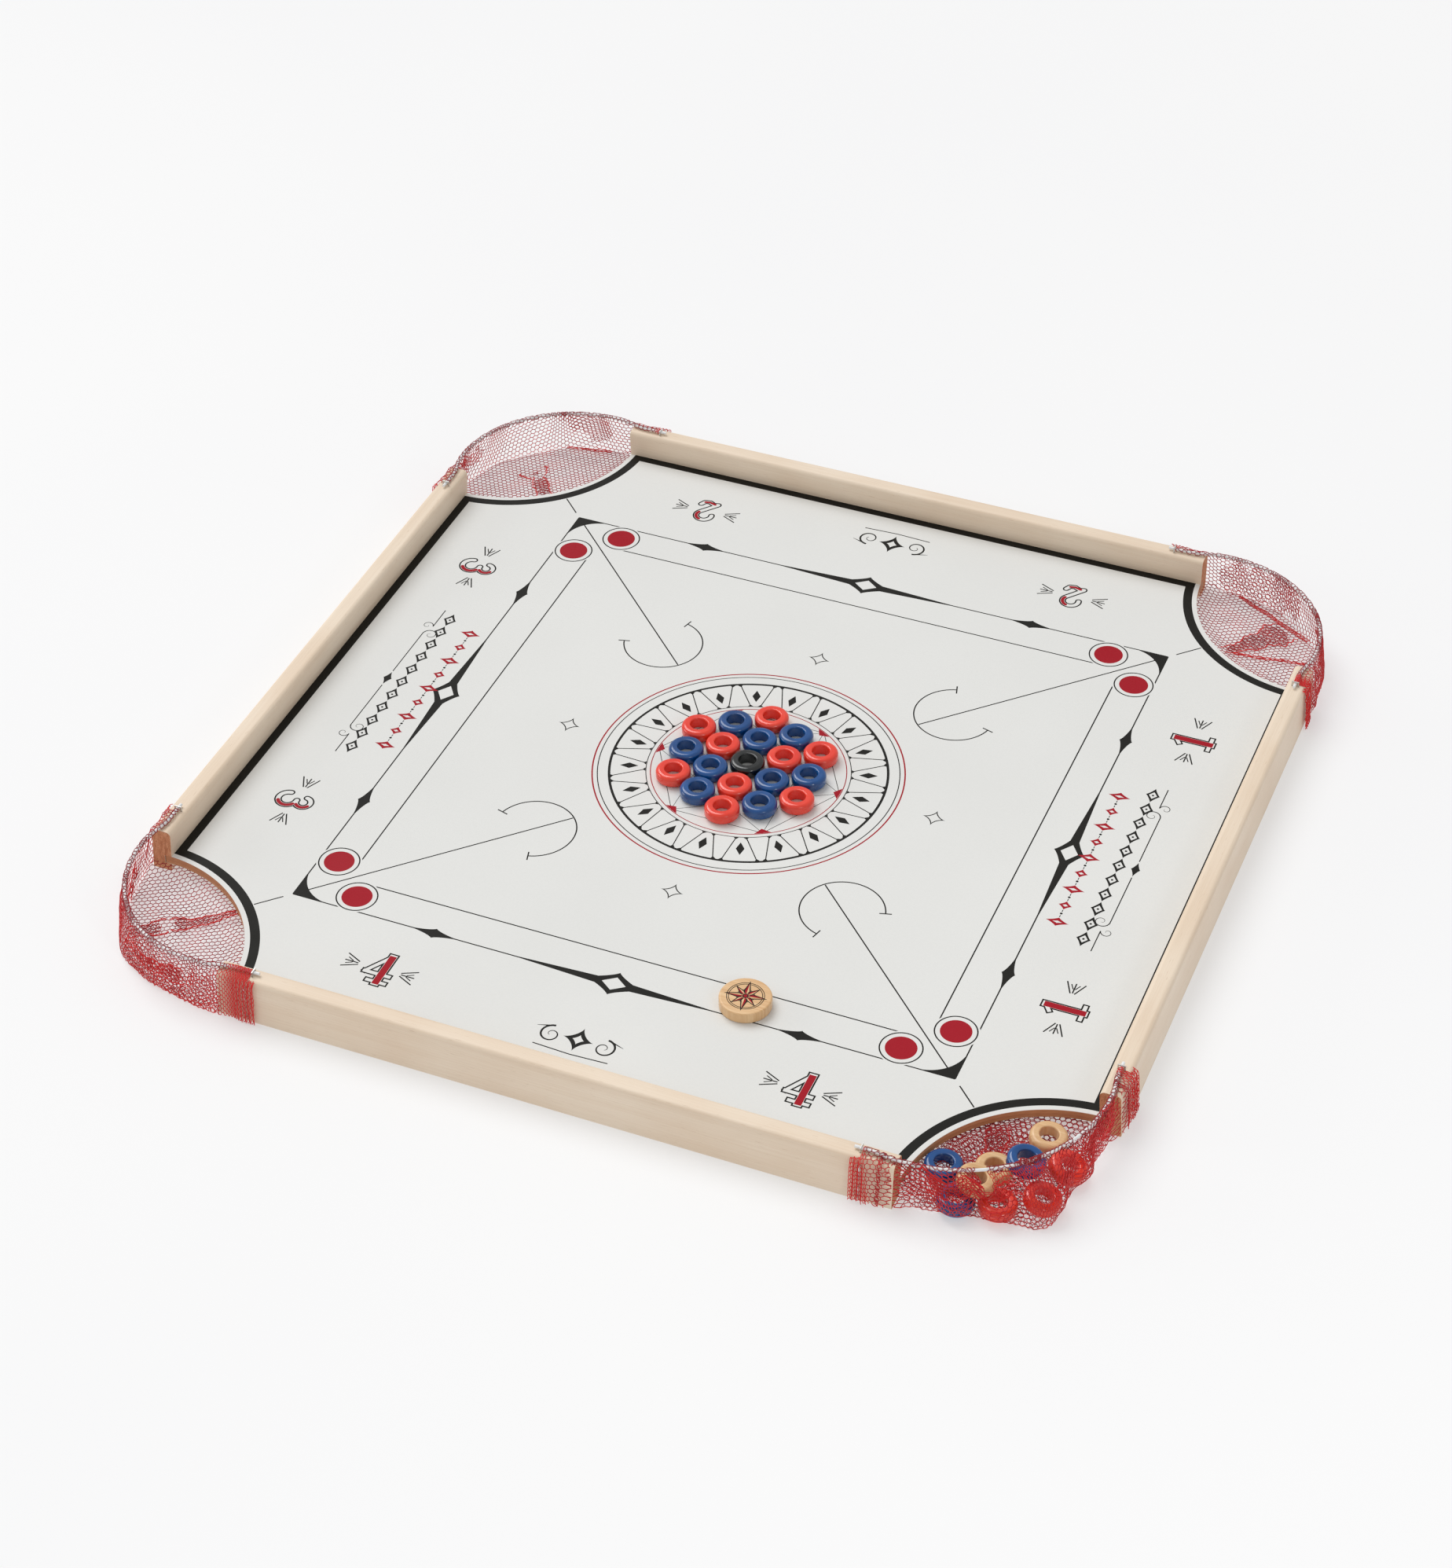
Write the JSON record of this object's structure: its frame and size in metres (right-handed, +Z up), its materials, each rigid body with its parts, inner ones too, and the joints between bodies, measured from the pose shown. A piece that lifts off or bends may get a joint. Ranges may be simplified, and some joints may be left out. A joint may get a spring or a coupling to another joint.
{
  "type": "carrom board",
  "caption": "Square pocket carrom board with raised wooden rails, a net pocket at each corner, loose ring pieces and a striker disc.",
  "frame": {"origin": "on the table under the centre of the board", "axes": "+Z up, +X towards the right rail, +Y towards the back rail, so the front rail and the striker's baseline lie along -Y"},
  "size_m": [0.7154, 0.7154, 0.0388],
  "materials": {
    "plywood": "bare plywood, its edges stained tan",
    "printed_paper": "white sheet with printed black and red lines under clear lacquer",
    "rail_wood": "clear satin varnish on pale close-grained hardwood",
    "clear_cord": "clear polished plastic line",
    "red_net": "knitted open mesh of fine red thread",
    "staple_wire": "galvanised wire",
    "red_plastic": "polished",
    "blue_plastic": "polished",
    "black_plastic": "polished",
    "light_wood": "clear lacquer"
  },
  "bodies": {
    "board": {"playing_panel": "plywood", "printed_sheet": "printed_paper", "rail_back": "rail_wood", "rail_front": "rail_wood", "rail_left": "rail_wood", "rail_right": "rail_wood", "rim_cord_back_left": "clear_cord", "rim_cord_back_right": "clear_cord", "rim_cord_front_left": "clear_cord", "rim_cord_front_right": "clear_cord", "net_back_left": "red_net", "net_back_right": "red_net", "net_front_left": "red_net", "net_front_right": "red_net", "cord_staples": "staple_wire", "side_staples": "staple_wire", "under_staples": "staple_wire"},
    "striker": {"striker": "light_wood"},
    "net_rings": {"net_ring_blue_1": "blue_plastic", "net_ring_blue_2": "blue_plastic", "net_ring_blue_3": "blue_plastic", "net_ring_red_1": "red_plastic", "net_ring_red_2": "red_plastic", "net_ring_red_3": "red_plastic", "net_ring_wood_1": "light_wood", "net_ring_wood_2": "light_wood", "net_ring_wood_3": "light_wood"},
    "ring_black": {"ring_black": "black_plastic"},
    "ring_blue_1": {"ring_blue_1": "blue_plastic"},
    "ring_blue_2": {"ring_blue_2": "blue_plastic"},
    "ring_blue_3": {"ring_blue_3": "blue_plastic"},
    "ring_blue_4": {"ring_blue_4": "blue_plastic"},
    "ring_blue_5": {"ring_blue_5": "blue_plastic"},
    "ring_blue_6": {"ring_blue_6": "blue_plastic"},
    "ring_blue_7": {"ring_blue_7": "blue_plastic"},
    "ring_blue_8": {"ring_blue_8": "blue_plastic"},
    "ring_blue_9": {"ring_blue_9": "blue_plastic"},
    "ring_red_1": {"ring_red_1": "red_plastic"},
    "ring_red_2": {"ring_red_2": "red_plastic"},
    "ring_red_3": {"ring_red_3": "red_plastic"},
    "ring_red_4": {"ring_red_4": "red_plastic"},
    "ring_red_5": {"ring_red_5": "red_plastic"},
    "ring_red_6": {"ring_red_6": "red_plastic"},
    "ring_red_7": {"ring_red_7": "red_plastic"},
    "ring_red_8": {"ring_red_8": "red_plastic"},
    "ring_red_9": {"ring_red_9": "red_plastic"}
  },
  "joints": [
    {"name": "striker_slide", "type": "slide", "parent": "board", "child": "striker", "axis": [1, 0, 0], "range_m": [-0.29, 0.11]},
    {"name": "net_rings_lift", "type": "slide", "parent": "board", "child": "net_rings", "axis": [0, 0, 1], "range_m": [0, 0.008]},
    {"name": "ring_black_lift", "type": "slide", "parent": "board", "child": "ring_black", "axis": [0, 0, 1], "range_m": [0, 0.05]},
    {"name": "ring_blue_1_lift", "type": "slide", "parent": "board", "child": "ring_blue_1", "axis": [0, 0, 1], "range_m": [0, 0.05]},
    {"name": "ring_blue_2_lift", "type": "slide", "parent": "board", "child": "ring_blue_2", "axis": [0, 0, 1], "range_m": [0, 0.05]},
    {"name": "ring_blue_3_lift", "type": "slide", "parent": "board", "child": "ring_blue_3", "axis": [0, 0, 1], "range_m": [0, 0.05]},
    {"name": "ring_blue_4_lift", "type": "slide", "parent": "board", "child": "ring_blue_4", "axis": [0, 0, 1], "range_m": [0, 0.05]},
    {"name": "ring_blue_5_lift", "type": "slide", "parent": "board", "child": "ring_blue_5", "axis": [0, 0, 1], "range_m": [0, 0.05]},
    {"name": "ring_blue_6_lift", "type": "slide", "parent": "board", "child": "ring_blue_6", "axis": [0, 0, 1], "range_m": [0, 0.05]},
    {"name": "ring_blue_7_lift", "type": "slide", "parent": "board", "child": "ring_blue_7", "axis": [0, 0, 1], "range_m": [0, 0.05]},
    {"name": "ring_blue_8_lift", "type": "slide", "parent": "board", "child": "ring_blue_8", "axis": [0, 0, 1], "range_m": [0, 0.05]},
    {"name": "ring_blue_9_lift", "type": "slide", "parent": "board", "child": "ring_blue_9", "axis": [0, 0, 1], "range_m": [0, 0.05]},
    {"name": "ring_red_1_lift", "type": "slide", "parent": "board", "child": "ring_red_1", "axis": [0, 0, 1], "range_m": [0, 0.05]},
    {"name": "ring_red_2_lift", "type": "slide", "parent": "board", "child": "ring_red_2", "axis": [0, 0, 1], "range_m": [0, 0.05]},
    {"name": "ring_red_3_lift", "type": "slide", "parent": "board", "child": "ring_red_3", "axis": [0, 0, 1], "range_m": [0, 0.05]},
    {"name": "ring_red_4_lift", "type": "slide", "parent": "board", "child": "ring_red_4", "axis": [0, 0, 1], "range_m": [0, 0.05]},
    {"name": "ring_red_5_lift", "type": "slide", "parent": "board", "child": "ring_red_5", "axis": [0, 0, 1], "range_m": [0, 0.05]},
    {"name": "ring_red_6_lift", "type": "slide", "parent": "board", "child": "ring_red_6", "axis": [0, 0, 1], "range_m": [0, 0.05]},
    {"name": "ring_red_7_lift", "type": "slide", "parent": "board", "child": "ring_red_7", "axis": [0, 0, 1], "range_m": [0, 0.05]},
    {"name": "ring_red_8_lift", "type": "slide", "parent": "board", "child": "ring_red_8", "axis": [0, 0, 1], "range_m": [0, 0.05]},
    {"name": "ring_red_9_lift", "type": "slide", "parent": "board", "child": "ring_red_9", "axis": [0, 0, 1], "range_m": [0, 0.05]}
  ]
}
